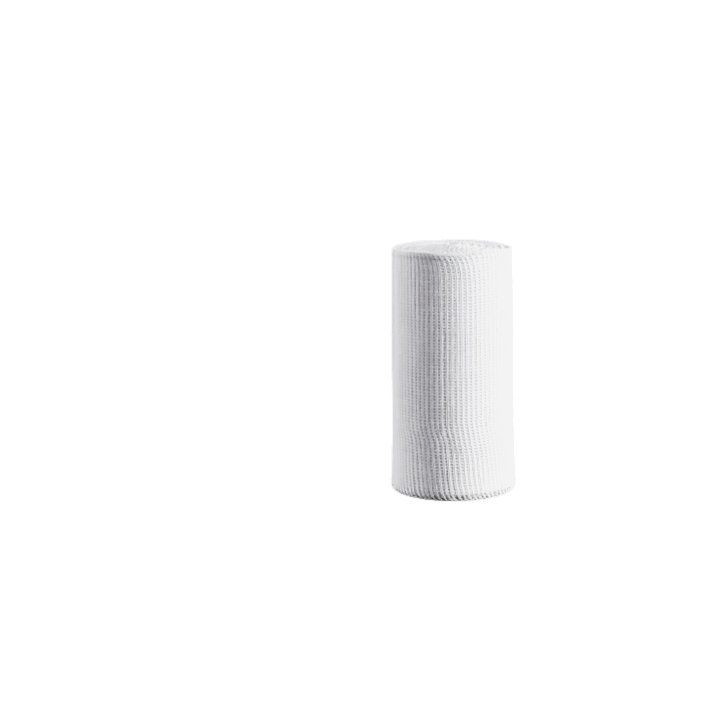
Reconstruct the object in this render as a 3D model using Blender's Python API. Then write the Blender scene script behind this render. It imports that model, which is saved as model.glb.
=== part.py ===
"""A roll of elastic gauze bandage, standing on its end.

One strip of open gauze, 10 cm wide, is wound on itself with no core. Its crosswise ribs run up
the side, and its turns show as a spiral on both ends. Metres, +Z up, the roll's axis on Z and
its foot on Z = 0. The front is -Y.
"""

import math
from collections import namedtuple

import bmesh
import bpy

MM = 0.001
FULL_TURN = 2 * math.pi

# Driving dimensions of the strip as it is wound.
STRIP_WIDTH = 100 * MM
LAYER = 0.75 * MM
RIB_COUNT = 76
RIB_HEIGHT = 0.45 * MM
# The strip's outer end lies along this rib, at the back.
CUT_END_RIB = 21

# One rib is a crest and a flat hollow beside it: the height of each column of points.
RIB_COLUMNS = (1.0, 0.0, 0.0)
SIDE_COLUMNS = RIB_COUNT * len(RIB_COLUMNS)

# The side from the foot to the top, in mm. Slide is how far the ribs have moved round the roll
# at that height, and relief is the share of the rib height and of the cut end's step there.
Level = namedtuple("Level", "height radius slide relief")
SIDE = (
    Level(0.0, 22.60, 7.4, 0.0),
    Level(0.4, 24.30, 6.2, 0.6),
    Level(1.5, 25.50, 5.0, 1.0),
    Level(3.6, 25.80, 3.9, 1.0),
    Level(9.0, 25.45, 3.1, 1.0),
    Level(22.0, 25.05, 2.3, 1.0),
    Level(27.0, 24.95, 1.2, 1.0),
    Level(32.0, 24.90, 0.2, 1.0),
    Level(55.0, 24.85, 0.0, 1.0),
    Level(82.0, 24.70, 0.0, 1.0),
    Level(94.5, 24.40, -0.3, 1.0),
    Level(98.2, 24.25, -1.1, 1.0),
    Level(99.6, 23.80, -1.8, 0.9),
    Level(100.0, 22.80, -2.4, 0.6),
    Level(99.7, 21.40, -3.2, 0.0),
)
FOOT_RIM, TOP_RIM = SIDE[0], SIDE[-1]

# The main turns on the ends, as columns of points across one turn: across is a share of the
# turn, and depth is how far the point lies in from the end, in mm.
Edge = namedtuple("Edge", "across depth")
TOP_EDGES = (Edge(0.0, 1.0), Edge(0.25, 0.45), Edge(0.5, 0.1), Edge(0.75, 0.35), Edge(1.0, 1.0))
FOOT_EDGES = (Edge(0.0, 0.6), Edge(0.13, 0.0), Edge(0.87, 0.0), Edge(1.0, 0.6))
END_COLUMNS = 38
MAIN_TURN = 3.0 * MM
CENTRE_RADIUS = 2.2 * MM
# The spiral stops this far inside the rim's last row of points.
RIM_STRIP = 0.8 * MM

# The top rim's unevenness: each wave's number round the roll, its height in mm and its phase.
Wave = namedtuple("Wave", "number height phase")
RIM_WAVES = (Wave(2, 0.10, 0.4), Wave(5, 0.12, 2.1), Wave(9, 0.08, 1.0))
WAVES_START = 90 * MM
# The rim has slumped a little at the front left.
SLUMP_ANGLE = math.radians(-118)
SLUMP_SPREAD = math.radians(34)
SLUMP_DEPTH = 0.6 * MM

WELD = 0.02 * MM
GAUZE_COLOUR = (0.85, 0.84, 0.83, 1.0)
GAUZE_ROUGHNESS = 0.95


def clear_scene():
    """Removes every object from the scene."""
    for obj in list(bpy.data.objects):
        bpy.data.objects.remove(obj, do_unlink=True)


def on_roll(radius, angle, height):
    """The point at this radius, angle and height."""
    return (radius * math.cos(angle), radius * math.sin(angle), height)


def rim_rise(angle, height):
    """How far the uneven top rim rises or sinks at this angle and height."""
    share = max(0.0, (height - WAVES_START) / (STRIP_WIDTH - WAVES_START))
    waves = sum(w.height * MM * math.sin(w.number * angle + w.phase) for w in RIM_WAVES)
    turned = (angle - SLUMP_ANGLE + math.pi) % FULL_TURN - math.pi
    slump = SLUMP_DEPTH * math.exp(-((turned / SLUMP_SPREAD) ** 2))
    return share * (waves - slump)


def side_point(column, row):
    """The point of the ribbed side at this column and row of its grid."""
    level = SIDE[row]
    crest = RIB_COLUMNS[column % len(RIB_COLUMNS)]
    turn_share = (column - CUT_END_RIB * len(RIB_COLUMNS)) % SIDE_COLUMNS / SIDE_COLUMNS
    relief = RIB_HEIGHT * (crest - 1) + LAYER * (turn_share - 0.5)
    radius = level.radius * MM + level.relief * relief
    angle = FULL_TURN * column / SIDE_COLUMNS + level.slide / level.radius
    height = level.height * MM
    return on_roll(radius, angle, height + rim_rise(angle, height))


def end_point(column, edge, rim, inward):
    """The point of an end's spiral at this column and edge. Inward is 1 or -1 along Z."""
    limit = rim.radius * MM - RIM_STRIP
    radius = CENTRE_RADIUS + MAIN_TURN * (column / END_COLUMNS + edge.across)
    on_centre = column < END_COLUMNS and edge.across == 0
    depth = 0 if on_centre or radius >= limit else edge.depth * MM
    angle = FULL_TURN * column / END_COLUMNS
    height = rim.height * MM
    height += rim_rise(angle, height) + inward * depth
    return on_roll(min(radius, limit), angle, height)


def add_grid(bm, columns, rows, place):
    """Adds a grid, moves each point to place(column, row) and welds what meets."""
    points = bmesh.ops.create_grid(bm, x_segments=columns, y_segments=rows, size=0.5)["verts"]
    for point in points:
        column = round((point.co.x + 0.5) * columns)
        row = round((point.co.y + 0.5) * rows)
        point.co = place(column, row)
    bmesh.ops.remove_doubles(bm, verts=points, dist=WELD)


def open_edges(bm, inward, least, most):
    """The open edges at one end whose points lie between these distances from the axis."""

    def wanted(point):
        at_end = (point.co.z - STRIP_WIDTH / 2) * inward < 0
        return at_end and least <= point.co.xy.length <= most

    return [edge for edge in bm.edges if edge.is_boundary and all(map(wanted, edge.verts))]


def open_ring(bm, inward, radius):
    """The (angle, point) pairs of the open ring of this radius, with the first again last."""
    edges = open_edges(bm, inward, radius - WELD, radius + WELD)
    points = {point for edge in edges for point in edge.verts}
    ring = [(math.atan2(point.co.y, point.co.x), point) for point in points]
    ring.sort(key=lambda pair: pair[0])
    first_angle, first_point = ring[0]
    return ring + [(first_angle + FULL_TURN, first_point)]


def loft_rings(bm, wide, narrow):
    """Joins two rings of unlike counts with triangles, going round both together."""
    i = j = 0
    while i < len(wide) - 1 or j < len(narrow) - 1:
        wide_is_next = j == len(narrow) - 1 or (
            i < len(wide) - 1 and wide[i + 1][0] <= narrow[j + 1][0]
        )
        ahead = wide[i + 1][1] if wide_is_next else narrow[j + 1][1]
        bm.faces.new((wide[i][1], ahead, narrow[j][1]))
        i, j = (i + 1, j) if wide_is_next else (i, j + 1)


def add_end(bm, edges, rim, inward):
    """Winds a long grid into one end's spiral, joins it to the side and fills its centre."""
    rim_radius = rim.radius * MM
    spiral_radius = rim_radius - RIM_STRIP
    turns = math.ceil((spiral_radius - CENTRE_RADIUS) / MAIN_TURN)
    add_grid(
        bm,
        turns * END_COLUMNS,
        len(edges) - 1,
        lambda column, row: end_point(column, edges[row], rim, inward),
    )
    loft_rings(bm, open_ring(bm, inward, rim_radius), open_ring(bm, inward, spiral_radius))
    centre = open_edges(bm, inward, 0, CENTRE_RADIUS + MAIN_TURN + WELD)
    bmesh.ops.edgeloop_fill(bm, edges=centre)


def gauze_material():
    """Undyed cotton gauze."""
    material = bpy.data.materials.new("cotton_gauze")
    material.use_nodes = True
    shader = material.node_tree.nodes["Principled BSDF"]
    shader.inputs["Base Color"].default_value = GAUZE_COLOUR
    shader.inputs["Roughness"].default_value = GAUZE_ROUGHNESS
    return material


def make_roll(collection):
    """The wound strip as one closed solid."""
    bm = bmesh.new()
    add_grid(bm, SIDE_COLUMNS, len(SIDE) - 1, side_point)
    add_end(bm, TOP_EDGES, TOP_RIM, inward=-1)
    add_end(bm, FOOT_EDGES, FOOT_RIM, inward=1)
    bmesh.ops.recalc_face_normals(bm, faces=bm.faces)
    for face in bm.faces:
        face.smooth = True
    mesh = bpy.data.meshes.new("gauze_roll")
    bm.to_mesh(mesh)
    bm.free()
    mesh.materials.append(gauze_material())
    roll = bpy.data.objects.new("gauze_roll", mesh)
    collection.objects.link(roll)
    return roll


def main():
    """Builds the roll in a collection of its own."""
    clear_scene()
    collection = bpy.data.collections.new("gauze_bandage_roll")
    bpy.context.scene.collection.children.link(collection)
    make_roll(collection)


main()
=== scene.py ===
"""The finish of a roll of elastic gauze bandage, laid thread by thread over its solid.

The outer turn is real threads: paired crosswise wefts, which make the ribs, and lengthwise warps,
which bind them like the rungs of a ladder. The turns further in are one thin cloth in its wound
form, with the weft's loops and the edge warps standing on both of its edges. Metres, +Z up, the
roll's axis on Z and the front at -Y.
"""

import logging
import math
from dataclasses import dataclass
from enum import Enum

import bpy
import numpy as np
from mathutils import Matrix, Vector


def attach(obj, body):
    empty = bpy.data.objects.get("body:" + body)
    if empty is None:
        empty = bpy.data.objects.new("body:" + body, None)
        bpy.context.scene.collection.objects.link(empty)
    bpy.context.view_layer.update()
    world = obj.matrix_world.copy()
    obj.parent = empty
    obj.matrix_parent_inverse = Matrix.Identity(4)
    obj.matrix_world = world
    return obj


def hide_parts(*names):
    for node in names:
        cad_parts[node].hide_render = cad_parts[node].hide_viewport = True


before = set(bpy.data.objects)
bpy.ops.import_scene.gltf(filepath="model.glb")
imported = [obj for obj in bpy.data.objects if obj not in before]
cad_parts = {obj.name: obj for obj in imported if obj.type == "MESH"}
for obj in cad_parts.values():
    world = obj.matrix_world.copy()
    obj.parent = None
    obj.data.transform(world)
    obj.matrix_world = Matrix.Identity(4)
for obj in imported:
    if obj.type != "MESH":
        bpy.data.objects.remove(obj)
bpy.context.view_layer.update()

MM = 0.001
FULL_TURN = 2 * math.pi
# The front of the roll, as an angle round it in degrees.
FRONT = -90.0
# Shorter than any real step between two points, to divide by where two fall together.
TINY = 1e-12
Array = np.ndarray
log = logging.getLogger("gauze_roll")


class End(Enum):
    """The two ends of the roll."""

    FOOT = "foot"
    TOP = "top"


def wander(seed: int, x: Array, y: Array | float = 0.0) -> Array:
    """Smooth repeatable unevenness, as value noise on a unit grid.

    Args:
        seed: Picks one of many unlike fields.
        x: Place along the first way, where 1 is about half a wave.
        y: Place along the second way.

    Returns:
        Values from -1 to 1, in the shape of x and y together.
    """
    x, y = np.broadcast_arrays(np.asarray(x, float), np.asarray(y, float))
    x0, y0 = np.floor(x), np.floor(y)
    fx, fy = x - x0, y - y0
    fx, fy = fx * fx * (3 - 2 * fx), fy * fy * (3 - 2 * fy)

    def corner(i: Array, j: Array) -> Array:
        """The field's own value at a corner of the grid."""
        value = np.sin(i * 127.1 + j * 311.7 + seed * 74.7) * 43758.5453
        return 2 * (value - np.floor(value)) - 1

    low = corner(x0, y0) * (1 - fx) + corner(x0 + 1, y0) * fx
    high = corner(x0, y0 + 1) * (1 - fx) + corner(x0 + 1, y0 + 1) * fx
    return low * (1 - fy) + high * fy


def ramp(low: float, high: float, x: Array) -> Array:
    """A soft step from 0 at low to 1 at high."""
    t = np.clip((np.asarray(x, float) - low) / (high - low), 0, 1)
    return t * t * (3 - 2 * t)


def from_front(theta: Array) -> Array:
    """The degrees from the front to each theta, the short way round."""
    return (np.degrees(theta) - FRONT + 180) % 360 - 180


@dataclass
class Winding:
    """How the strip is wound. A place on it is (u, v, h), all in metres.

    u runs along the strip from its outer cut end, v runs across it from its foot edge, and h is
    the height above the middle of the cloth, outwards from the roll.
    """

    strip_width: float = 100 * MM
    layer: float = 0.72 * MM
    # The outer turns have been pressed closer together by handling.
    tight_layer: float = 0.48 * MM
    tight_turns: float = 3.0
    half_cloth: float = 0.30 * MM
    # The spacings of the ribs round the roll and of the rungs up it.
    rib_pitch: float = 2.025 * MM
    warp_pitch: float = 1.235 * MM
    # The crest radius half-way up, as the mean round the outer turn.
    outer_radius: float = 24.92 * MM
    # The strip starts at the centre in an S-shaped fold of these two sizes.
    centre_radius: float = 2.2 * MM
    fold_radius: float = 0.9 * MM
    # Where the strip's outer end is, round the roll: at the back. The path starts this far
    # before it, in radians, for the frayed ends.
    cut_angle: float = math.radians(99.5)
    lead_in: float = 0.4
    path_steps: int = 24000
    # The outside of the roll, in mm: heights and crest radii up the side.
    side_heights: tuple[float, ...] = (0, 2.4, 8, 15, 25, 45, 65, 85, 98.7)
    side_radii: tuple[float, ...] = (25.9, 25.86, 25.49, 25.33, 24.99, 24.92, 24.92, 24.62, 24.28)
    # How far the ribs have slid round the roll at each height, in mm: they lean near both ends.
    slide_heights: tuple[float, ...] = (
        0, 1.5, 3.6, 9, 21, 24.5, 28.5, 32, 90, 93.5, 96.5, 98.7, 101
    )
    slides: tuple[float, ...] = (
        6.6, 5.0, 3.9, 3.1, 2.3, 1.9, 0.5, 0, 0, -0.25, -1.0, -1.9, -3.4
    )
    # The outer turns tuck under at the foot and bend over at the top, less on each turn inwards.
    least_tuck: float = 0.02 * MM
    foot_tuck: float = 1.35 * MM
    foot_arc: float = math.radians(72)
    top_tuck: float = 1.16 * MM
    top_arc: float = math.radians(84)
    tuck_fall: float = 0.2 * MM
    # The next turns are pressed up against the first on the roll's right side, by up to this, a
    # little more or less from patch to patch. The angles are in degrees from the front.
    press: float = 0.54 * MM
    press_patchiness: float = 0.16
    press_angles: tuple[float, ...] = (-180, -32, -20, -10, 0, 140, 180)
    presses: tuple[float, ...] = (0, 0, 0.3, 0.75, 1, 1, 0)
    # The outer turns are wound neatly. From the first of these two turns to the second the
    # winding becomes uneven, and stays so to the centre.
    inner_turns: tuple[float, float] = (1.5, 4.5)
    # On the ends the turns stand in bundles, which spiral outwards at this pitch.
    bundle: float = 3.0 * MM
    bundle_lean: float = 0.33 * MM
    winding_unevenness: float = 0.35 * MM
    # How deep the valleys between the bundles are on each end, in mm.
    foot_valley: float = 0.5
    top_valley: float = 0.3
    # The top is a low dome, with a small pit in its middle that opens to the front.
    top_level: float = 99.65 * MM
    core_rise: float = 2.2 * MM
    core_reach: float = 13 * MM
    pit: float = 0.9 * MM
    pit_reach: tuple[float, float] = (1.2 * MM, 1.9 * MM)
    pit_forward: float = 0.7 * MM
    # Above this height the ribs lean only where the top edge bends over.
    upper_part: float = 60 * MM
    # Round the top rim, in degrees from the front: how far the outer turns stand up, in mm, and
    # how far their edge bends over, from 0 for upright to 1 for wholly.
    rim_angles: tuple[float, ...] = (
        -180, -90, -72, -55, -40, -28, -20, 0, 12, 20, 30, 45, 58, 72, 90, 180
    )
    rim_rises: tuple[float, ...] = (
        0.2, 0.3, 0.5, 0.9, 1.4, 1.3, 1.2, 0.9, 0.4, 0.6, 1.7, 1.8, 1.4, 0.6, -0.2, 0.2
    )
    curl_angles: tuple[float, ...] = (-180, -60, -40, -25, -10, 22, 32, 90, 180)
    curls: tuple[float, ...] = (0.5, 0.35, 0.3, 0.6, 1.0, 1.0, 0.3, 0.3, 0.5)

    def __post_init__(self) -> None:
        """Lays the strip's path, as a spiral that ends in an S-shaped fold at the centre."""
        start = self.outer_radius - self.half_cloth + self.tight_layer / 2
        inside = start - self.centre_radius - self.tight_layer * self.tight_turns
        last = (self.tight_turns + inside / self.layer) * FULL_TURN
        angle = np.linspace(-self.lead_in, last, self.path_steps)
        turn = angle / FULL_TURN
        radius = start - self.tight_layer * np.minimum(turn, self.tight_turns)
        radius -= self.layer * np.maximum(turn - self.tight_turns, 0)
        theta = self.cut_angle - angle
        x, y = radius * np.cos(theta), radius * np.sin(theta)
        end = self.cut_angle - last
        bow = np.linspace(0, math.pi, 60)[1:]
        half = self.centre_radius / 2
        for centre, size, way in ((half, half, -1), (-self.fold_radius, self.fold_radius, 1)):
            x = np.append(x, centre * math.cos(end) + size * np.cos(end + way * bow))
            y = np.append(y, centre * math.sin(end) + size * np.sin(end + way * bow))
        self.path_x, self.path_y = x, y
        steps = np.hypot(np.diff(x), np.diff(y))
        self.path_u = np.concatenate([[0], np.cumsum(steps)])
        self.path_u -= np.interp(0, angle, self.path_u[: len(angle)])
        # The outward normal lies a quarter turn to the left of the way that the strip runs.
        heading = np.unwrap(np.arctan2(np.gradient(y), np.gradient(x)))
        self.path_normal = heading + math.pi / 2
        folded = np.linspace(last, last + FULL_TURN, len(x) - len(angle))
        self.path_turn = np.concatenate([angle, folded]) / FULL_TURN
        self.length = float(self.path_u[-1])
        self.rib_total = int(self.length / self.rib_pitch) - 1

    def turn_at(self, u: Array) -> Array:
        """The number of turns from the outer cut end to each u."""
        return np.interp(u, self.path_u, self.path_turn)

    def u_at(self, turn: Array) -> Array:
        """The place along the strip where it has made this many turns."""
        return np.interp(turn, self.path_turn, self.path_u)

    def angle_at(self, u: Array) -> Array:
        """The angle round the roll at each u."""
        return self.cut_angle - FULL_TURN * self.turn_at(u)

    def inner(self, turn: Array) -> Array:
        """0 for the neat outer turns, 1 for the uneven inner ones."""
        return ramp(*self.inner_turns, turn)

    def tuck(self, outermost: float, turn: Array) -> Array:
        """How far each turn's edge comes in, from how far the outermost does."""
        return np.maximum(outermost - self.tuck_fall * turn, self.least_tuck)

    def rim_rise(self, theta: Array) -> Array:
        """How far the top rim stands above its level at each angle round the roll."""
        waves = 0.06 * np.sin(5 * theta + 2.1) + 0.06 * np.sin(9 * theta + 1.0)
        return (waves + np.interp(from_front(theta), self.rim_angles, self.rim_rises)) * MM

    def top_curl(self, theta: Array) -> Array:
        """How far the top edge bends over: 1 for wholly, less where it stands upright."""
        return np.interp(from_front(theta), self.curl_angles, self.curls)

    def pressed(self, theta: Array) -> Array:
        """How hard the outer turns are pressed together at each angle, from 0 to 1."""
        return np.interp(from_front(theta), self.press_angles, self.presses)

    def bundle_share(self, radius: Array, theta: Array) -> Array:
        """How far across its bundle of turns each place on an end lies, from 0 to 1."""
        return ((radius - self.centre_radius) / self.bundle - theta / FULL_TURN) % 1

    def foot_edge(self, turn: Array, crest: Array, wave: Array) -> Array:
        """The height of the strip's edge at the foot.

        Args:
            turn: Turns from the outer cut end.
            crest: 1 on the ridge of a bundle of turns, 0 in the valley beside it.
            wave: The edge's own unevenness, from -1 to 1.

        Returns:
            The heights above the floor.
        """
        valley = self.foot_valley * (1 - crest) + 0.1 * wave
        edge = 0.1 * MM * self.tuck(self.foot_tuck, turn) / self.foot_tuck
        return edge + (0.02 + self.inner(turn) * valley) * MM

    def top_edge(self, x: Array, y: Array, turn: Array, crest: Array, wave: Array) -> Array:
        """The height of the strip's edge at the top, as a low dome with a pit, inside the rim.

        Args:
            x: Place to the right of the roll's axis.
            y: Place behind the roll's axis.
            turn: Turns from the outer cut end.
            crest: 1 on the ridge of a bundle of turns, 0 in the valley beside it.
            wave: The edge's own unevenness, from -1 to 1.

        Returns:
            The heights above the floor.
        """
        radius, theta = np.hypot(x, y), np.arctan2(y, x)
        valley = self.top_valley * (1 - crest) - 0.08 * wave
        edge = self.top_level - self.inner(turn) * valley * MM
        edge = edge + self.rim_rise(theta) * (radius / self.outer_radius) ** 5
        edge = edge + self.core_rise * np.exp(-((radius / self.core_reach) ** 2))
        wide, deep = self.pit_reach
        in_pit = (x / wide) ** 2 + ((y + self.pit_forward) / deep) ** 2
        return edge - self.pit * np.exp(-in_pit)

    def place(self, u: Array, v: Array, h: Array) -> tuple[Array, Array]:
        """The points in space of places on the strip.

        Args:
            u: Place along the strip.
            v: Place across the strip.
            h: Height above the middle of the cloth.

        Returns:
            The points, and the cloth's outward normals there, each with a last axis of 3.
        """
        u, v, h = np.broadcast_arrays(u, v, h)
        x = np.interp(u, self.path_u, self.path_x)
        y = np.interp(u, self.path_u, self.path_y)
        facing = np.interp(u, self.path_u, self.path_normal)
        turn = self.turn_at(u)
        radius, theta = np.hypot(x, y), np.arctan2(y, x)
        share = radius / self.outer_radius
        inner = self.inner(turn)
        across = self.bundle_share(radius, theta)
        crest = 0.5 - 0.5 * np.cos(FULL_TURN * across)
        wave = wander(3, u / (4 * MM), turn * 2.1)

        # The foot tucks under round an arc.
        foot_round = self.tuck(self.foot_tuck, turn) / (1 - math.cos(self.foot_arc))
        foot_length = foot_round * self.foot_arc
        low = self.foot_edge(turn, crest, wave) + foot_round * math.sin(self.foot_arc)
        foot = np.clip((foot_length - v) / foot_round, 0, self.foot_arc)

        # The top bends over round another arc.
        curl = self.top_curl(theta)
        top_round = self.tuck(self.top_tuck, turn) / (1 - math.cos(self.top_arc))
        high = self.top_edge(x, y, turn, crest, wave)
        high = high - top_round / curl * np.sin(self.top_arc * curl)
        v_high = self.strip_width - top_round * self.top_arc
        bend = np.maximum(v - v_high, 0) * curl / top_round

        # Between the two arcs it follows the roll's side.
        middle = (np.clip(v, foot_length, v_high) - foot_length) / (v_high - foot_length)
        height = low + middle * (high - low)
        side = np.interp(height / MM, self.side_heights, self.side_radii) * MM
        radius = radius + (side - self.outer_radius) * share**2
        radius = radius - foot_round * (1 - np.cos(foot))
        radius = radius - top_round / curl * (1 - np.cos(bend))
        level = height - foot_round * np.sin(foot) + top_round / curl * np.sin(bend)

        # Inside, the turns are wound a little unevenly and lean together at the ends.
        near_end = ramp(5 * MM, 0.5 * MM, np.minimum(v, self.strip_width - v))
        lean = self.bundle_lean * np.sin(FULL_TURN * across) * near_end
        uneven = self.winding_unevenness * wander(5, theta * 1.3 + 9, turn / 4)
        uneven = uneven * np.minimum(share * 2, 1)
        radius = np.maximum(radius + inner * (lean + uneven), 0)

        # The second turn is pressed up wholly, the few after it less and less.
        near = ramp(0.6, 1.0, turn) * ramp(5.0, 2.0, turn)
        patchy = 1 + self.press_patchiness * wander(9, theta * 4, v / (11 * MM))
        radius = radius + self.press * self.pressed(theta) * near * patchy

        # The ribs slide round the roll, the inner turns less.
        slide = np.interp(level / MM, self.slide_heights, self.slides) * MM
        slide = slide * np.where(level > self.upper_part, curl, 1)
        swing = slide * (1 - 0.6 * inner) / self.outer_radius
        theta, facing = theta + swing, facing + swing

        tilt = bend - foot
        flat = np.cos(tilt)
        normals = np.stack([flat * np.cos(facing), flat * np.sin(facing), np.sin(tilt)], -1)
        points = np.stack([radius * np.cos(theta), radius * np.sin(theta), level], -1)
        points = points + h[..., None] * normals
        # Nothing goes through the floor.
        points[..., 2] = np.maximum(points[..., 2], 0.03 * MM)
        return points, normals

    def rib_centre(self, rib: Array, v: Array) -> Array:
        """Where the middle of each rib runs.

        Args:
            rib: Number of the rib from the outer cut end.
            v: Place across the strip.

        Returns:
            The place along the strip.
        """
        # In mm: each rib's own, that of a few ribs together, and a fine waviness.
        unevenness = 0.10 * wander(11, rib * 7.31) + 0.14 * wander(12, rib * 0.5, v / (13 * MM))
        unevenness = unevenness + 0.03 * wander(13, rib * 5.3, v / (2.6 * MM))
        return (rib + 0.5) * self.rib_pitch + unevenness * MM

    def pinch(self, v: Array) -> Array:
        """How far a rib draws together near the strip's edges.

        Args:
            v: Place across the strip.

        Returns:
            The rib's width, as a share of its full width.
        """
        foot = ramp(3.8 * MM, 1.8 * MM, v)
        top = ramp(self.strip_width - 4 * MM, self.strip_width - 2 * MM, v)
        return 1 - 0.42 * foot - 0.25 * top

    def strand(self, rib: Array, v: Array, second: Array) -> tuple[Array, Array]:
        """Where one of a rib's two strands runs.

        Args:
            rib: Number of the rib from the outer cut end.
            v: Place across the strip.
            second: 0 for the rib's first strand, 1 for its second.

        Returns:
            The place along the strip, and the height above the middle of the cloth.
        """
        # The two lie a little apart and now and then change which of them is the higher.
        side = 2 * second - 1
        apart = (0.28 + 0.05 * wander(14, rib * 3.7, v / (7 * MM))) * MM * self.pinch(v)
        swap = wander(15, rib * 0.43, v / (24 * MM))
        lift = -side * (0.02 + 0.04 * swap) * MM
        return self.rib_centre(rib, v) + side * apart, lift


def face_corners(own: Array, ahead: Array) -> Array:
    """Gathers the values at the corners of the faces of some tubes.

    Args:
        own: Each point's value, by tube, by ring along it and by side.
        ahead: The same for the next point round each ring.

    Returns:
        The values, four for each face.
    """
    values = np.stack([own[:, :-1], own[:, 1:], ahead[:, 1:], ahead[:, :-1]], -1)
    return values.reshape(-1, 4)


@dataclass
class Threads:
    """Many like threads, to be made as one mesh of thin tubes."""

    name: str
    sides: int
    # By thread, and by place along it: the middle, the way up and the half sizes.
    points: Array
    normals: Array
    half_width: Array | float
    half_height: Array | float
    # A number for each thread, which picks its tint.
    tint: Array | None = None

    def rings(self) -> Array:
        """Sets an oval ring at each point of each thread.

        Returns:
            The rings' points, by tube, by ring along it and by side.
        """
        count, rows = self.points.shape[:2]
        along = np.gradient(self.points, axis=1)
        along /= np.maximum(np.linalg.norm(along, axis=-1, keepdims=True), TINY)
        beside = np.cross(along, self.normals)
        beside /= np.maximum(np.linalg.norm(beside, axis=-1, keepdims=True), TINY)
        above = np.cross(beside, along)
        wide, tall = (
            np.broadcast_to(half, (count, rows))[..., None, None]
            for half in (self.half_width, self.half_height)
        )
        round_angle = (np.arange(self.sides) + 0.5) / self.sides * FULL_TURN
        ring = np.cos(round_angle)[:, None] * beside[..., None, :] * wide
        ring = ring + np.sin(round_angle)[:, None] * above[..., None, :] * tall
        return self.points[..., None, :] + ring

    def unwrap(self, index: Array, caps: Array) -> Array:
        """Where each corner of the faces lies on its thread.

        Args:
            index: The points' numbers, by tube, by ring along it and by side.
            caps: The points of the faces that close the tubes' ends.

        Returns:
            For each corner, the mm along its thread and the mm round it.
        """
        steps = np.linalg.norm(np.diff(self.points, axis=1), axis=-1)
        start = np.zeros((len(steps), 1))
        run = np.concatenate([start, np.cumsum(steps, axis=1)], axis=1) / MM
        run = np.broadcast_to(run[..., None], index.shape)
        girth = FULL_TURN * float(np.mean(self.half_width)) / MM / self.sides
        turn = np.broadcast_to(np.arange(self.sides) * girth, index.shape)
        quad_uv = np.stack([face_corners(run, run), face_corners(turn, turn + girth)], -1)
        cap_uv = np.stack([run.reshape(-1)[caps], turn.reshape(-1)[caps]], -1)
        return np.concatenate([quad_uv.reshape(-1, 2), cap_uv.reshape(-1, 2)])

    def build(self) -> bpy.types.Object:
        """Makes the tubes, with closed ends, a UV map in mm and a tint for each thread.

        Returns:
            The new object, at the origin.
        """
        count, rows = self.points.shape[:2]
        vertices = self.rings().reshape(-1, 3)
        index = np.arange(len(vertices)).reshape(count, rows, self.sides)
        quads = face_corners(index, np.roll(index, -1, axis=2))
        caps = np.concatenate([index[:, 0, :], index[:, -1, ::-1]])
        uv = self.unwrap(index, caps)
        loops = np.concatenate([quads.reshape(-1), caps.reshape(-1)])
        sizes = np.concatenate([np.full(len(quads), 4), np.full(len(caps), self.sides)])
        mesh = bpy.data.meshes.new(self.name)
        mesh.vertices.add(len(vertices))
        mesh.vertices.foreach_set("co", vertices.astype(np.float32).reshape(-1))
        mesh.loops.add(len(loops))
        mesh.loops.foreach_set("vertex_index", loops.astype(np.int32))
        mesh.polygons.add(len(sizes))
        offsets = np.concatenate([[0], np.cumsum(sizes)[:-1]])
        mesh.polygons.foreach_set("loop_start", offsets.astype(np.int32))
        mesh.update(calc_edges=True)
        mesh.polygons.foreach_set("use_smooth", np.ones(len(sizes), bool))
        layer = mesh.uv_layers.new(name="thread_mm")
        layer.uv.foreach_set("vector", uv.astype(np.float32).reshape(-1))
        tint = np.arange(count) if self.tint is None else self.tint
        tint = np.repeat(0.5 + 0.5 * wander(31, tint * 5.17), rows * self.sides)
        attribute = mesh.attributes.new("tint", "FLOAT", "POINT")
        attribute.data.foreach_set("value", tint.astype(np.float32))
        mesh.validate()
        obj = bpy.data.objects.new(self.name, mesh)
        bpy.context.scene.collection.objects.link(obj)
        return obj


def linear(code: str) -> tuple[float, float, float, float]:
    """Turns an sRGB colour to linear.

    Args:
        code: The colour's hex code, such as "#F2F0EE".

    Returns:
        The linear red, green, blue and alpha.
    """
    parts = [int(code[i : i + 2], 16) / 255 for i in (1, 3, 5)]
    flat = [p / 12.92 if p <= 0.04045 else ((p + 0.055) / 1.055) ** 2.4 for p in parts]
    return (*flat, 1.0)


def add_node(
    tree: bpy.types.NodeTree, kind: str, settings: dict | None = None, inputs: dict | None = None
) -> bpy.types.Node:
    """Adds one node, with its settings, its values and the links into it.

    Args:
        tree: The node tree.
        kind: Blender's name for the kind of node.
        settings: Properties of the node, by name.
        inputs: For each input, by name or number, a value or the socket that feeds it.

    Returns:
        The new node.
    """
    node = tree.nodes.new(kind)
    for name, value in (settings or {}).items():
        setattr(node, name, value)
    for key, value in (inputs or {}).items():
        if isinstance(value, bpy.types.NodeSocket):
            tree.links.new(value, node.inputs[key])
        else:
            node.inputs[key].default_value = value
    return node


def new_material(
    name: str, surface: dict[str, float | tuple[float, ...]]
) -> bpy.types.Material:
    """Starts a material.

    Args:
        name: The material's name.
        surface: What is the same all over it, by the name of the shader's socket.

    Returns:
        The new material.
    """
    made = bpy.data.materials.new(name)
    made.use_nodes = True
    for socket, value in surface.items():
        made.node_tree.nodes["Principled BSDF"].inputs[socket].default_value = value
    return made


def calculate(
    tree: bpy.types.NodeTree, operation: str, *values: float | bpy.types.NodeSocket
) -> bpy.types.NodeSocket:
    """The result of one sum on numbers or sockets."""
    node = add_node(tree, "ShaderNodeMath", {"operation": operation}, dict(enumerate(values)))
    return node.outputs[0]


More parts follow.
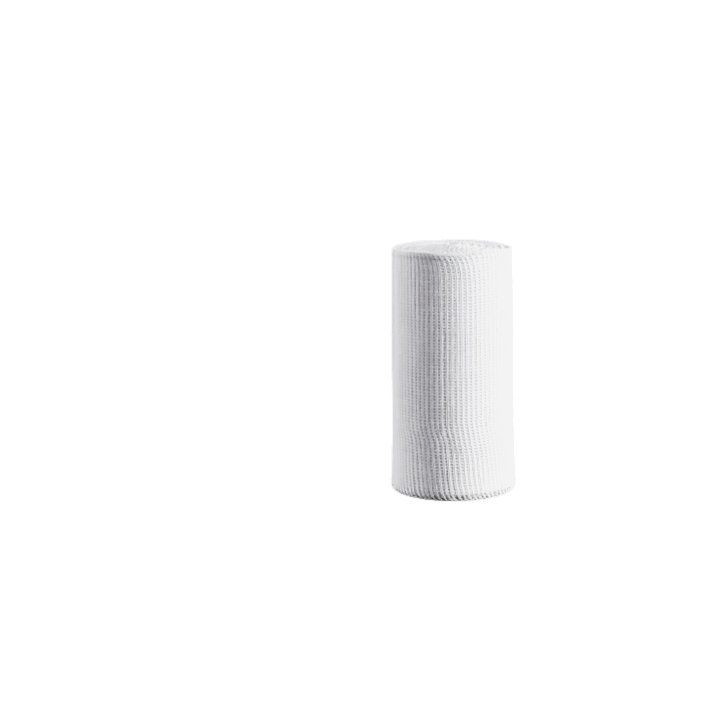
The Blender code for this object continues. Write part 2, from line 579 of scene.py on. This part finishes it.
def speckle(tree: bpy.types.NodeTree, scale: float, detail: float) -> bpy.types.NodeSocket:
    """Adds noise through the piece.

    Args:
        tree: The material's node tree.
        scale: The lumps to a metre.
        detail: How many finer layers of lumps there are.

    Returns:
        The noise, from 0 to 1.
    """
    place = add_node(tree, "ShaderNodeTexCoord")
    inputs = {"Vector": place.outputs["Object"], "Scale": scale, "Detail": detail}
    return add_node(tree, "ShaderNodeTexNoise", None, inputs).outputs["Fac"]


def paint(
    tree: bpy.types.NodeTree,
    tone: bpy.types.NodeSocket,
    limits: tuple[float, float],
    colours: tuple[str, str],
) -> None:
    """Colours the material by a tone, from one colour to another.

    Args:
        tree: The material's node tree.
        tone: The tone.
        limits: The tones that give the first colour and the second.
        colours: The two colours.
    """
    inputs = {"Value": tone, "From Min": limits[0], "From Max": limits[1]}
    share = add_node(tree, "ShaderNodeMapRange", None, inputs).outputs[0]
    inputs = {0: share, 6: linear(colours[0]), 7: linear(colours[1])}
    mixed = add_node(tree, "ShaderNodeMix", {"data_type": "RGBA"}, inputs)
    tree.links.new(mixed.outputs[2], tree.nodes["Principled BSDF"].inputs["Base Color"])


def emboss(
    tree: bpy.types.NodeTree, height: bpy.types.NodeSocket, strength: float, depth: float
) -> None:
    """Gives the material a fine relief.

    Args:
        tree: The material's node tree.
        height: The relief's height at each place.
        strength: How much it shows, from 0 to 1.
        depth: The height of 1, in metres.
    """
    inputs = {"Strength": strength, "Distance": depth, "Height": height}
    bump = add_node(tree, "ShaderNodeBump", None, inputs)
    tree.links.new(bump.outputs["Normal"], tree.nodes["Principled BSDF"].inputs["Normal"])


@dataclass(frozen=True)
class YarnFinish:
    """Soft spun yarn: matt, with the slant of its twist and a bloom of fine fibres."""

    name: str
    light: str
    dark: str
    roughness: float
    sheen: float
    # In mm: the spacing of the twist's slants along the thread, and the way round the thread.
    twist: float = 0.55
    girth: float = 1.7
    plies: int = 2

    def material(self) -> bpy.types.Material:
        """Makes the material, which reads the thread's UV map in mm and its tint.

        Returns:
            The new material.
        """
        surface = {
            "Roughness": self.roughness,
            "Specular IOR Level": 0.25,
            "Sheen Weight": self.sheen,
            "Sheen Roughness": 0.5,
            # Light soaks through a thread, which lifts its shadows.
            "Subsurface Weight": 1.0,
            "Subsurface Radius": (1.0, 1.0, 1.0),
            "Subsurface Scale": 0.6 * MM,
        }
        made = new_material(self.name, surface)
        tree = made.node_tree
        # Each thread's own tint, and patches about 6 mm across that are a little less bleached.
        tint = add_node(tree, "ShaderNodeAttribute", {"attribute_name": "tint"})
        patches = speckle(tree, 160.0, 3.0)
        tone = calculate(tree, "MULTIPLY_ADD", tint.outputs["Fac"], 0.55, patches)
        paint(tree, tone, (0.35, 1.15), (self.dark, self.light))
        # The slants of its two plies, about every half millimetre: coarser than real ones, to show.
        thread = add_node(tree, "ShaderNodeUVMap", {"uv_map": "thread_mm"})
        split = add_node(tree, "ShaderNodeSeparateXYZ", None, {0: thread.outputs["UV"]})
        length = calculate(tree, "MULTIPLY", split.outputs["X"], FULL_TURN / self.twist)
        around = self.plies * FULL_TURN / self.girth
        slant = calculate(tree, "MULTIPLY_ADD", split.outputs["Y"], around, length)
        ply = calculate(tree, "SINE", slant)
        # Loose fibres, drawn about 0.2 mm apart: coarser than real ones, to show.
        fibres = speckle(tree, 5200.0, 2.0)
        emboss(tree, calculate(tree, "MULTIPLY_ADD", ply, 0.35, fibres), 0.6, 0.06 * MM)
        return made


@dataclass(frozen=True)
class ClothFinish:
    """The wound cloth, further in: its ribs and rungs as a pattern, with painted shade: the cloth
    is darker than the outer threads, and its holes darker still.
    """

    name: str
    # The threads' colour and the holes' colour. Both are darker than the outer threads' yarn, and
    # the holes darker again: painted shade of the turns further in.
    rib: str
    hole_shade: str
    # In mm: the spacings of the ribs and of the rungs.
    rib_pitch: float
    warp_pitch: float

    def material(self) -> bpy.types.Material:
        """Makes the material, which reads the cloth's UV map in mm.

        Returns:
            The new material.
        """
        made = new_material(self.name, {"Roughness": 0.95, "Specular IOR Level": 0.2})
        tree = made.node_tree
        cloth = add_node(tree, "ShaderNodeUVMap", {"uv_map": "cloth_mm"})
        split = add_node(tree, "ShaderNodeSeparateXYZ", None, {0: cloth.outputs["UV"]})
        # One wave to each rib pitch, 2.025 mm, and one to each rung, 1.235 mm.
        waves = []
        for axis, pitch in (("X", self.rib_pitch), ("Y", self.warp_pitch)):
            angle = calculate(tree, "MULTIPLY", split.outputs[axis], FULL_TURN / pitch)
            waves.append(calculate(tree, "COSINE", angle))
        threads = calculate(tree, "MAXIMUM", *waves)
        # Fine fibres, drawn about 0.4 mm apart: coarser than real ones, to show.
        fibres = speckle(tree, 2600.0, 3.0)
        relief = calculate(tree, "MULTIPLY_ADD", fibres, 0.8, threads)
        # Where it is low, between the threads, the cloth takes the darker colour: painted shade in
        # its holes.
        paint(tree, relief, (-0.3, 0.7), (self.hole_shade, self.rib))
        emboss(tree, relief, 0.8, 0.2 * MM)
        return made


def dress(obj: bpy.types.Object, material: bpy.types.Material) -> None:
    """Gives a piece its material and the body that it rides on, and logs its triangle count.

    Args:
        obj: The piece.
        material: Its material.
    """
    obj.data.materials.clear()
    obj.data.materials.append(material)
    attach(obj, "root")
    obj.data.calc_loop_triangles()
    log.info("%s: %d triangles", obj.name, len(obj.data.loop_triangles))


@dataclass
class Ribs:
    """The crosswise wefts of one turn, two strands to each rib."""

    winding: Winding
    name: str
    first: int
    last: int
    sides: int
    rows: int
    half_width: float = 0.26 * MM
    half_height: float = 0.12 * MM
    # How much flatter the strands are where the turns are pressed together.
    flattening: float = 0.4
    edge_gap: float = 1.9 * MM

    def build(self) -> bpy.types.Object:
        """Lays the strands up the strip, stopping where the loops at its edges take over.

        Returns:
            The new object.
        """
        ribs = np.repeat(np.arange(self.first, self.last), 2)[:, None]
        second = np.tile([0, 1], self.last - self.first)[:, None]
        high = self.winding.strip_width - self.edge_gap
        v = np.linspace(self.edge_gap, high, self.rows)[None, :]
        u, h = self.winding.strand(ribs, v, second)
        points, normals = self.winding.place(u, v, h)
        swell = 1 + 0.12 * wander(21, ribs * 2.9 + second * 51.3, v / (3.1 * MM))
        flat = 1 - self.flattening * self.winding.pressed(self.winding.angle_at(u))
        return Threads(
            self.name,
            self.sides,
            points,
            normals,
            self.half_width * swell * self.winding.pinch(v),
            self.half_height * swell * flat,
        ).build()


@dataclass
class Warps:
    """The lengthwise threads of one turn. Each lies over the ribs and dips between them."""

    winding: Winding
    name: str
    first: int
    last: int
    sides: int
    # Along one rib pitch: where the points stand, their heights and their half widths.
    stations: tuple[tuple[float, float, float], ...]
    # The longest of the frayed ends.
    fray: float
    # There are no rungs this close to the foot edge and the top edge, apart from one along each.
    foot_clear: float = 2.9 * MM
    top_clear: float = 1.2 * MM
    edge_row: float = 0.6 * MM
    # A rung's height, as a share of its width.
    flatness: float = 0.65
    # Where the top edge bends over, the last rungs are sunk this far between the ribs.
    sink: float = 0.4 * MM
    sink_from: float = 96 * MM
    # Where the turns are pressed together, the rungs come up this far.
    lift: float = 0.02 * MM

    def build(self) -> bpy.types.Object:
        """Lays the threads round the roll from its cut end, where they are frayed.

        Returns:
            The new object.
        """
        winding = self.winding
        middle = winding.strip_width - self.foot_clear - self.top_clear
        inside = int(middle / winding.warp_pitch)
        ladder = self.foot_clear + (np.arange(inside) + 0.5) * middle / inside
        edges = (self.edge_row, winding.strip_width - self.edge_row)
        rungs = np.concatenate([ladder, edges])[:, None]
        count = len(rungs)
        rows = (np.arange(count) + 0.5)[:, None]
        share, height, width = np.array(self.stations).T
        ribs = np.arange(self.first, self.last)
        position = (ribs[:, None] + share).reshape(1, -1)
        height = np.tile(height, len(ribs))[None, :] * MM
        width = np.tile(width, len(ribs))[None, :] * MM
        v = rungs + 0.13 * MM * wander(22, position * 0.31, rows * 1.7)
        v = v + 0.05 * MM * wander(23, position * 1.3, rows * 4.1)
        before = np.floor(position)
        part = position - before
        u = (1 - part) * winding.rib_centre(before, v) + part * winding.rib_centre(before + 1, v)
        height = height + 0.06 * MM * wander(24, position * 0.9, rows * 3.3)
        theta = winding.angle_at(u)
        sunk = ramp(self.sink_from, self.sink_from + MM, v)
        sunk = sunk * ramp(0.85, 1.0, winding.top_curl(theta))
        height = height - self.sink * sunk + self.lift * winding.pressed(theta)
        # At the cut end each is frayed, by a length of its own, and its tail strays and lifts.
        loose = self.fray * (0.35 + 0.65 * np.abs(wander(25, rows * 5.9)))
        tail = np.array([[1.0, 0.66, 0.33]])
        u = np.concatenate([-loose * tail + 0.2 * MM, u], axis=1)
        lift = 0.5 * MM * wander(26, rows * 3.1) * tail**2
        height = np.broadcast_to(height, (count, position.size))
        height = np.concatenate([np.maximum(lift, -0.1 * MM), height], axis=1)
        stray = v[:, :1] + 0.8 * MM * wander(27, rows * 2.3) * tail**2
        v = np.concatenate([np.clip(stray, MM, winding.strip_width - MM), v], axis=1)
        width = np.concatenate([np.full((1, 3), 0.15 * MM), width], axis=1)
        points, normals = winding.place(u, v, height)
        swell = 1 + 0.15 * wander(28, u / (1.7 * MM), rows * 2.7)
        width = width * swell
        return Threads(
            self.name, self.sides, points, normals, width, self.flatness * width
        ).build()


@dataclass
class EdgeLoops:
    """The weft's loops at one edge of the strip: each joins a rib to the next."""

    winding: Winding
    name: str
    end: End
    first: int
    last: int
    sides: int
    # A loop from leg to leg: how far it has come over, and its depth from the edge in mm.
    shape: tuple[tuple[float, float], ...]
    half_width: float = 0.24 * MM

    def build(self) -> bpy.types.Object:
        """Sets the loops on the edge, each a little taller, shorter or more bent than the last.

        Returns:
            The new object.
        """
        winding = self.winding
        ribs = np.arange(self.first, self.last)[:, None]
        over, depth = np.array(self.shape).T[:, None, :]
        inner = winding.inner(winding.turn_at(ribs * winding.rib_pitch))
        seed = 40 if self.end is End.TOP else 60
        short = (0.1 + inner * 0.5) * (0.5 + 0.5 * wander(seed, ribs * 7.7))
        near = np.exp(-depth / 1.2)
        depth = (depth + short * near) * MM
        v = depth if self.end is End.FOOT else winding.strip_width - depth
        from_u, from_h = winding.strand(ribs, v, 1)
        to_u, to_h = winding.strand(ribs + 1, v, 0)
        u = from_u + (to_u - from_u) * over
        u = u + inner * 0.45 * MM * wander(seed + 1, ribs * 5.1) * near
        h = from_h + (to_h - from_h) * over
        h = h + (0.05 + inner * 0.3) * MM * wander(seed + 2, ribs * 3.3) * near
        points, normals = winding.place(u, v, h)
        width = self.half_width * (1 + 0.15 * wander(seed + 3, ribs * 9.1)) * winding.pinch(v)
        return Threads(self.name, self.sides, points, normals, width, width, ribs[:, 0]).build()


@dataclass
class EdgeWarps:
    """The warps nearest both edges of the strip, all the way to the centre."""

    winding: Winding
    name: str
    start_turn: float
    # How far they lie from the edge, in mm.
    depths: tuple[float, ...] = (0.75, 1.95)
    half_width: float = 0.17 * MM
    # They weave over and under the ribs by this much, about a level a little above the cloth.
    level: float = 0.12 * MM
    weave: float = 0.2 * MM

    def build(self) -> bpy.types.Object:
        """Lays the edge warps, which dip between the loops.

        Returns:
            The new object.
        """
        winding = self.winding
        last = winding.length - 0.5 * MM
        u = np.arange(float(winding.u_at(self.start_turn)), last, winding.rib_pitch / 2)[None, :]
        depths = np.array(self.depths)[:, None] * MM
        v = np.concatenate([depths, winding.strip_width - depths])
        rows = np.arange(len(v))[:, None]
        v = v + 0.25 * MM * wander(71, u / (2.3 * MM), rows * 5.3)
        h = self.level + self.weave * np.cos(FULL_TURN * u / winding.rib_pitch + rows)
        points, normals = winding.place(u, v, h)
        return Threads(self.name, 3, points, normals, self.half_width, self.half_width).build()


@dataclass
class WoundCloth:
    """The inner turns as one thin cloth, wound from under the outer threads to the centre."""

    winding: Winding
    name: str
    start_turn: float = 1.0
    thickness: float = 0.34 * MM
    # Its middle lies this far under the middle of the threads.
    depth: float = 0.19 * MM
    # It stops this far inside both edges, raggedly, where the loops take over.
    edge_gap: float = 0.6 * MM
    raggedness: float = 0.35 * MM
    # Under the outermost turns it stops short of the foot, so that the gaps there are dark.
    foot_gap: float = 2.8 * MM
    # Its faces' length along the strip: a share of the radius there, within these two limits.
    step_share: float = 0.09
    steps: tuple[float, float] = (0.25 * MM, 1.9 * MM)
    # Across the strip, as shares of its width: close together at the ends, which show.
    shares: tuple[float, ...] = (
        0, 0.012, 0.03, 0.06, 0.14, 0.3, 0.5, 0.7, 0.86, 0.94, 0.97, 0.988, 1
    )

    def columns(self) -> Array:
        """Sets out the cloth's columns, closer together where it is wound tighter.

        Returns:
            Their places along the strip.
        """
        winding = self.winding
        least, most = self.steps
        u, places = float(winding.u_at(self.start_turn)), []
        while u < winding.length:
            places.append(u)
            radius = np.hypot(
                np.interp(u, winding.path_u, winding.path_x),
                np.interp(u, winding.path_u, winding.path_y),
            )
            u += min(max(self.step_share * float(radius), least), most)
        return np.array(places)

    def build(self) -> bpy.types.Object:
        """Winds a flat grid into the roll and gives it the cloth's thickness.

        Returns:
            The new object.
        """
        along = self.columns()
        rows = len(self.shares)
        bpy.ops.object.select_all(action="DESELECT")
        bpy.ops.mesh.primitive_grid_add(
            x_subdivisions=len(along) - 1, y_subdivisions=rows - 1, size=1
        )
        cloth = bpy.context.object
        cloth.name = cloth.data.name = self.name
        mesh = cloth.data
        flat = np.empty(len(mesh.vertices) * 3)
        mesh.vertices.foreach_get("co", flat)
        flat = flat.reshape(-1, 3)
        column = np.rint((flat[:, 0] + 0.5) * (len(along) - 1)).astype(int)
        row = np.rint((flat[:, 1] + 0.5) * (rows - 1)).astype(int)
        u = along[column]
        low = self.foot_gap * ramp(5.0, 4.6, self.winding.turn_at(u)) + self.edge_gap
        high = self.winding.strip_width - self.edge_gap
        v = low + np.array(self.shares)[row] * (high - low)
        edge = (row == 0) | (row == rows - 1)
        v = v + edge * self.raggedness * wander(81, u / (0.9 * MM), row)
        points, _ = self.winding.place(u, v, np.full(len(u), -self.depth))
        mesh.vertices.foreach_set("co", points.astype(np.float32).reshape(-1))
        layer = mesh.uv_layers.active
        layer.name = "cloth_mm"
        corners = np.empty(len(mesh.loops), np.int32)
        mesh.loops.foreach_get("vertex_index", corners)
        uv = np.stack([u[corners] / MM, v[corners] / MM], -1)
        layer.uv.foreach_set("vector", uv.astype(np.float32).reshape(-1))
        mesh.update()
        bpy.ops.object.mode_set(mode="EDIT")
        bpy.ops.mesh.select_all(action="SELECT")
        bpy.ops.mesh.normals_make_consistent(inside=False)
        bpy.ops.object.mode_set(mode="OBJECT")
        wall = cloth.modifiers.new("wall", "SOLIDIFY")
        wall.thickness = self.thickness
        wall.offset = 0.0
        bpy.ops.object.modifier_apply(modifier=wall.name)
        bpy.ops.object.shade_smooth()
        return cloth


@dataclass
class LooseFibres:
    """Short fine fibres that stand out of the yarn, which blur the roll's outline a little."""

    winding: Winding
    name: str
    on_side: int = 2200
    on_ends: int = 1300
    # The turns that those on the ends stand on, and the share of them on the top.
    end_turns: float = 26.0
    on_top: float = 0.6
    half_width: float = 0.025 * MM
    # A fibre's own reach in mm, and how far it stands up, as a share of that.
    reaches: tuple[float, float] = (0.5, 1.5)
    rises: tuple[float, float] = (0.15, 0.6)

    def build(self) -> bpy.types.Object:
        """Plants the fibres, each bent its own way.

        Returns:
            The new object.
        """
        winding = self.winding
        rng = np.random.default_rng(7)
        count = self.on_side + self.on_ends
        u = rng.uniform(0, winding.u_at(1.0), count)
        v = rng.uniform(MM, winding.strip_width - MM, count)
        u[: self.on_ends] = winding.u_at(rng.uniform(0, self.end_turns, self.on_ends))
        edge = rng.uniform(0.1, 0.6, self.on_ends) * MM
        top = rng.random(self.on_ends) < self.on_top
        v[: self.on_ends] = np.where(top, winding.strip_width - edge, edge)
        root, normal = winding.place(u, v, np.full(count, 0.3 * MM))
        upward = np.zeros((self.on_ends, 3))
        upward[:, 2] = np.where(top, 1, -0.2)
        normal[: self.on_ends] = upward
        way = rng.normal(0, 1, (count, 3))
        way -= (way * normal).sum(-1, keepdims=True) * normal
        way /= np.linalg.norm(way, axis=-1, keepdims=True)
        reach = rng.uniform(*self.reaches, count)[:, None] * MM
        rise = rng.uniform(*self.rises, count)[:, None]
        t = np.linspace(0, 1, 4)[None, :, None]
        points = root[:, None] + reach[:, None] * (
            way[:, None] * t * 1.2 + normal[:, None] * rise[:, None] * np.sin(t * 2.4)
        )
        points[..., 2] = np.maximum(points[..., 2], 0.05 * MM)
        normals = np.broadcast_to(normal[:, None], points.shape)
        width = self.half_width * np.array([[1.0, 0.9, 0.7, 0.35]])
        return Threads(self.name, 3, points, normals, width, width).build()


@dataclass
class Studio:
    """The pale floor, the soft lights and the camera."""

    floor_size: float = 60.0
    # The floor lies just under the roll. Inside this radius it doesn't glow and shows dark, as a
    # painted shadow under the roll.
    floor_level: float = -0.05 * MM
    painted_shadow_reach: float = 23.5 * MM
    # The place and the turn of the photograph's camera, worked out from the roll's edges in it.
    camera_place: tuple[float, float, float] = (0.0, -0.81255, 0.21133)
    camera_right: tuple[float, float, float] = (0.9989452, 0.0432182, -0.0155135)
    camera_up: tuple[float, float, float] = (0.0069836, 0.1909276, 0.9815793)
    lens: float = 101.27
    # The light that comes from all round, and its tint.
    ambient: float = 0.44
    ambient_tint: str = "#FAF6FF"
    # The picture's brightest whites roll off softly: light in the scene, and how it shows.
    white: float = 8.0
    lit: tuple[float, ...] = (
        0.2, 0.35, 0.45, 0.55, 0.65, 0.8, 1.0, 1.3, 1.7, 2.2, 2.8, 3.6, 4.6, 5.8, 6.6, 7.3
    )
    shown: tuple[float, ...] = (
        0.2, 0.35, 0.445, 0.52, 0.575, 0.635, 0.695, 0.755,
        0.825, 0.867, 0.889, 0.898, 0.904, 0.91, 0.93, 1.0,
    )
    # The lights are this far from the roll and face its middle.
    light_distance: float = 1.6
    aim: tuple[float, float, float] = (0.0, 0.0, 0.05)

    def camera(self) -> bpy.types.Object:
        """Sets the camera where the photograph was taken from.

        Returns:
            The camera.
        """
        data = bpy.data.cameras.new("camera")
        data.lens = self.lens
        data.sensor_width = 36.0
        data.clip_start, data.clip_end = 0.01, 200.0
        right, up = Vector(self.camera_right), Vector(self.camera_up)
        turn = Matrix((right, up, right.cross(up))).transposed().to_4x4()
        camera = bpy.data.objects.new("camera", data)
        camera.matrix_world = Matrix.Translation(self.camera_place) @ turn
        bpy.context.scene.collection.objects.link(camera)
        bpy.context.scene.camera = camera
        return camera

    def seen_only(self, tree: bpy.types.NodeTree, lighting: float) -> bpy.types.NodeSocket:
        """Makes a strength that is white to look at and lights the roll softly, if at all.

        Args:
            tree: The node tree.
            lighting: The strength as a light for the roll.

        Returns:
            The strength.
        """
        rays = add_node(tree, "ShaderNodeLightPath")
        inputs = {"Value": rays.outputs["Is Camera Ray"], "To Min": lighting, "To Max": self.white}
        return add_node(tree, "ShaderNodeMapRange", None, inputs).outputs[0]

    def floor(self) -> bpy.types.Object:
        """Lays the floor, which is as white as the background to look at, but for a painted shadow
        under the roll.

        Returns:
            The floor.
        """
        bpy.ops.object.select_all(action="DESELECT")
        bpy.ops.mesh.primitive_plane_add(size=self.floor_size, location=(0, 0, self.floor_level))
        floor = bpy.context.object
        floor.name = "floor"
        bpy.ops.object.transform_apply(location=True)
        surface = {
            "Base Color": linear("#606060"),
            "Roughness": 1.0,
            "Specular IOR Level": 0.0,
            "Emission Color": (1, 1, 1, 1),
        }
        white = new_material("white_floor_with_painted_shadow", surface)
        tree = white.node_tree
        # Its glow is only to look at and lights nothing. There is none under the roll, which leaves
        # a painted shadow there.
        place = add_node(tree, "ShaderNodeTexCoord")
        length = {"operation": "LENGTH"}
        away = add_node(tree, "ShaderNodeVectorMath", length, {0: place.outputs["Object"]})
        inputs = {
            "Value": away.outputs["Value"],
            "From Min": self.painted_shadow_reach,
            "From Max": self.painted_shadow_reach + MM,
            "To Max": self.seen_only(tree, 0.0),
        }
        clear = add_node(tree, "ShaderNodeMapRange", None, inputs)
        shader = tree.nodes["Principled BSDF"]
        tree.links.new(clear.outputs[0], shader.inputs["Emission Strength"])
        floor.data.materials.append(white)
        return floor

    def tone(self) -> None:
        """Sets a plain view with a soft shoulder, so that bright cloth isn't burnt out."""
        view = bpy.context.scene.view_settings
        view.view_transform = "Standard"
        view.look = "None"
        view.use_curve_mapping = True
        mapping = view.curve_mapping
        mapping.white_level = (self.white, self.white, self.white)
        # Anything brighter than the white level shows as white.
        mapping.extend = "HORIZONTAL"
        points = mapping.curves[3].points
        for lit, shown in zip(self.lit, self.shown, strict=True):
            points.new(lit / self.white, shown)
        mapping.update()

    def light(
        self, name: str, turn: float, lift: float, size: tuple[float, float], power: float
    ) -> None:
        """Hangs one soft light that faces the roll.

        Args:
            name: The light's name.
            turn: Degrees round the roll from the camera, to the right.
            lift: Degrees above the floor.
            size: Its width and height.
            power: Its watts.
        """
        data = bpy.data.lights.new(name, "AREA")
        data.shape = "RECTANGLE"
        data.size, data.size_y = size
        data.energy = power
        lamp = bpy.data.objects.new(name, data)
        angle, height = math.radians(turn - 90), math.radians(lift)
        level = math.cos(height)
        offset = Vector((level * math.cos(angle), level * math.sin(angle), math.sin(height)))
        lamp.location = Vector(self.aim) + self.light_distance * offset
        lamp.rotation_euler = offset.to_track_quat("Z", "Y").to_euler()
        bpy.context.scene.collection.objects.link(lamp)

    def build(self) -> None:
        """Sets up the whole studio."""
        self.camera()
        self.floor()
        world = bpy.data.worlds.new("studio")
        world.use_nodes = True
        tree = world.node_tree
        # The backdrop is white to look at, and lights the roll softly from all round.
        backdrop = tree.nodes["Background"]
        tree.links.new(self.seen_only(tree, self.ambient), backdrop.inputs["Strength"])
        backdrop.inputs["Color"].default_value = linear(self.ambient_tint)
        bpy.context.scene.world = world
        self.tone()
        self.light("key", turn=83, lift=4, size=(1.2, 1.2), power=235)
        self.light("back_fill", turn=-110, lift=4, size=(1.1, 1.2), power=78)
        self.light("overhead", turn=0, lift=90, size=(1.2, 1.2), power=12)


# A rung along one rib pitch: where each point stands, its height and its half width in mm.
RUNG = ((0.0, 0.0, 0.17), (0.34, -0.08, 0.18), (0.66, -0.08, 0.18))


def whole_loop(*half: tuple[float, float]) -> tuple[tuple[float, float], ...]:
    """A loop from leg to leg, from its first leg and its crown, as the other leg mirrors them."""
    return (*half, *((1 - over, depth) for over, depth in half[-2::-1]))


# How far each loop has come over, and its depth from the edge in mm. The outer turn's has longer
# legs and is rounder.
OUTER_LOOP = whole_loop(
    (0.0, 3.4), (0.0, 2.0), (0.02, 1.2), (0.12, 0.62), (0.3, 0.33), (0.5, 0.26)
)
INNER_LOOP = whole_loop((0.0, 1.6), (0.0, 1.0), (0.2, 0.4), (0.5, 0.2))


def main() -> None:
    """Builds the roll piece by piece, and reports each one."""
    logging.basicConfig(level=logging.INFO, format="%(name)s: %(message)s")
    winding = Winding()
    weft = YarnFinish(
        "soft_spun_cotton_weft", light="#F5F5F7", dark="#EAEAEE", roughness=0.92, sheen=0.25
    ).material()
    warp = YarnFinish(
        "crimped_viscose_warp",
        light="#F8F8FA",
        dark="#EFEFF2",
        roughness=0.8,
        sheen=0.3,
        twist=0.4,
        girth=1.1,
    ).material()
    # The cloth's colours are painted shade: darker than the threads, and darker still in its holes.
    cloth = ClothFinish(
        "woven_cotton_gauze",
        rib="#E3E3E9",
        hole_shade="#CACAD3",
        rib_pitch=winding.rib_pitch / MM,
        warp_pitch=winding.warp_pitch / MM,
    ).material()
    # The number of ribs in the whole strip, in its outer turn and in its outer five.
    total = winding.rib_total
    one_turn, five_turns = (int(winding.u_at(n) / winding.rib_pitch) for n in (1, 5))
    wound = WoundCloth(winding, "wound_cloth").build()
    dress(wound, cloth)
    wefts = [
        Ribs(winding, "outer_ribs", 0, one_turn, sides=5, rows=110),
        EdgeLoops(winding, "top_rim_loops", End.TOP, 0, one_turn, sides=5, shape=OUTER_LOOP),
        EdgeLoops(winding, "foot_rim_loops", End.FOOT, 0, one_turn, sides=5, shape=OUTER_LOOP),
        EdgeLoops(winding, "top_loops", End.TOP, one_turn, total, sides=4, shape=INNER_LOOP),
        EdgeLoops(winding, "foot_loops", End.FOOT, five_turns, total, sides=4, shape=INNER_LOOP),
    ]
    warps = [
        Warps(winding, "outer_warps", 0, one_turn, sides=5, stations=RUNG, fray=3.2 * MM),
        EdgeWarps(winding, "edge_warps", start_turn=2.0),
        LooseFibres(winding, "loose_fibres"),
    ]
    threads = []
    for group, material in ((wefts, weft), (warps, warp)):
        for piece in group:
            threads.append(piece.build())
            dress(threads[-1], material)
    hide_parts("gauze_roll")
    Studio().build()


if __name__ == "__main__":
    main()
